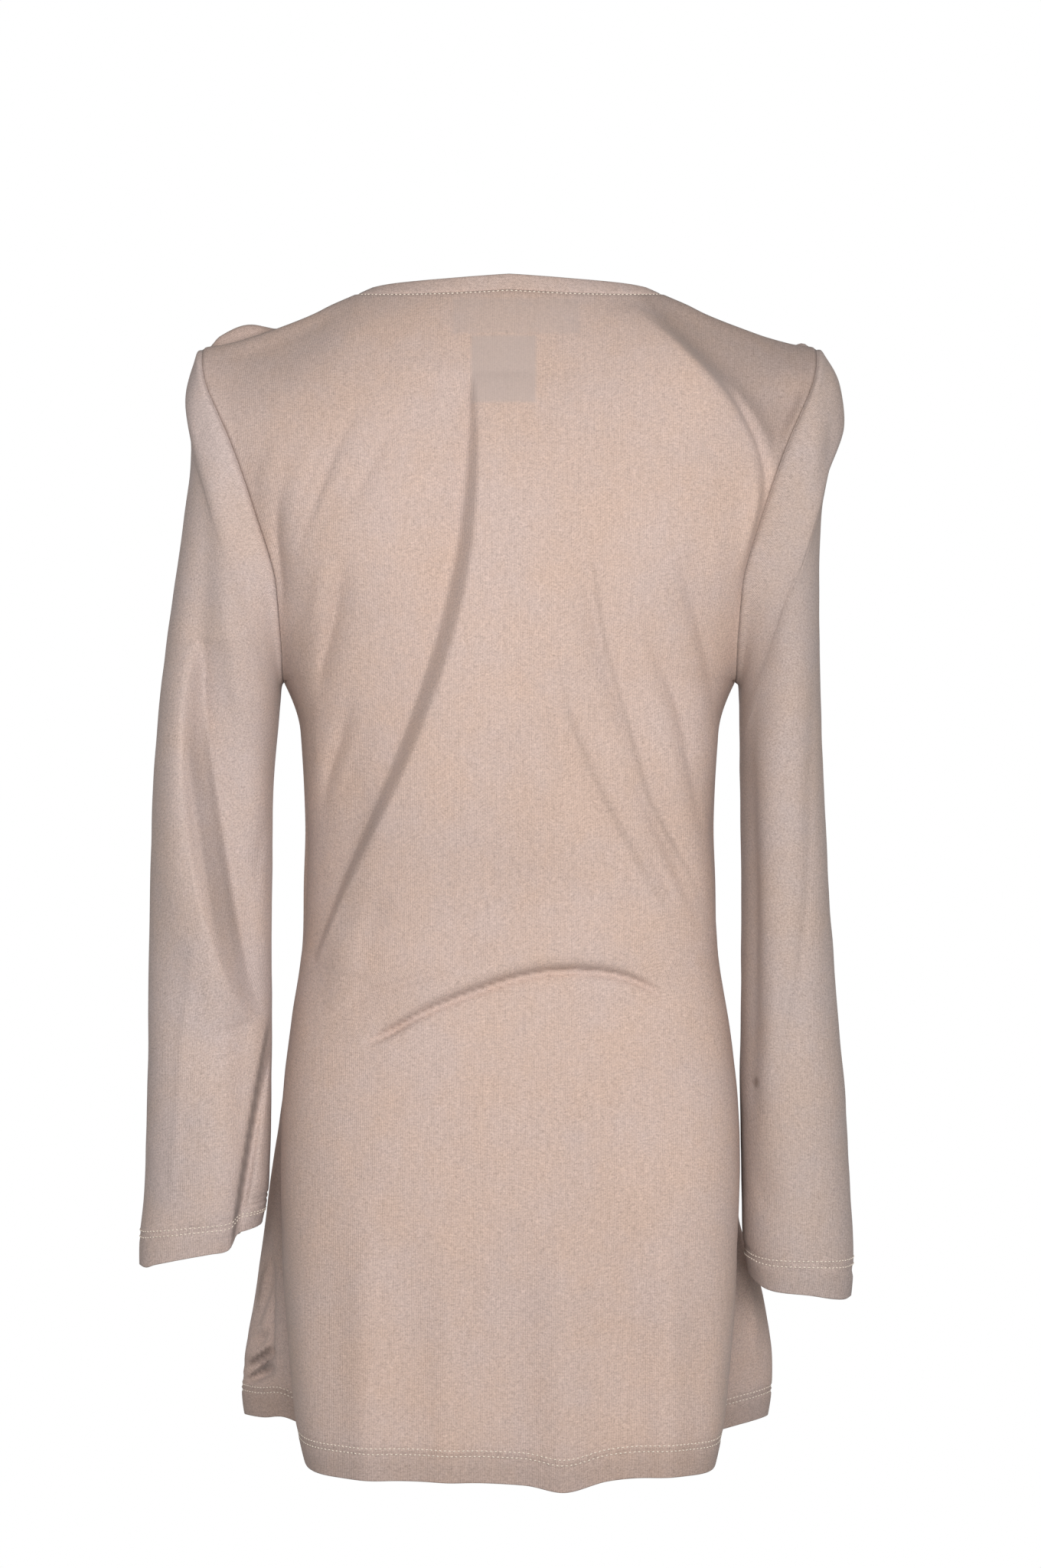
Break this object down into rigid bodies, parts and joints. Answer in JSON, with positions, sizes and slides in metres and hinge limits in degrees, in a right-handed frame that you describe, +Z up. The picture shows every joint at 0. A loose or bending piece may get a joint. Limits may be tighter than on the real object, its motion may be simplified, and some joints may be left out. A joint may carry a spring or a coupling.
{
  "type": "long-sleeved knit tunic blouse",
  "caption": "Long-sleeved round-necked knit tunic blouse, shaped at the waist and flared below it, filled out as if worn.",
  "frame": {"origin": "midway between the two points where the neck opening meets the shoulder seams, where the wearer's shoulders and neck hold the blouse", "axes": "+Z up along the blouse towards the neck, +Y out of its back, -Y out of its front, +X to the wearer's left"},
  "size_m": [0.4635, 0.2337, 0.7654],
  "materials": {
    "back_knit": "matte fine jersey",
    "front_knit": "matte fine jersey",
    "sleeve_left_knit": "matte fine jersey",
    "sleeve_right_knit": "matte fine jersey",
    "neck_band_knit": "matte fine jersey",
    "neck_label_tape": "woven tape",
    "size_tag_tape": "woven tape"
  },
  "bodies": {
    "root": {"back": "back_knit", "front": "front_knit", "sleeve_left": "sleeve_left_knit", "sleeve_right": "sleeve_right_knit", "neck_band": "neck_band_knit", "neck_label": "neck_label_tape", "size_tag": "size_tag_tape"}
  },
  "joints": []
}
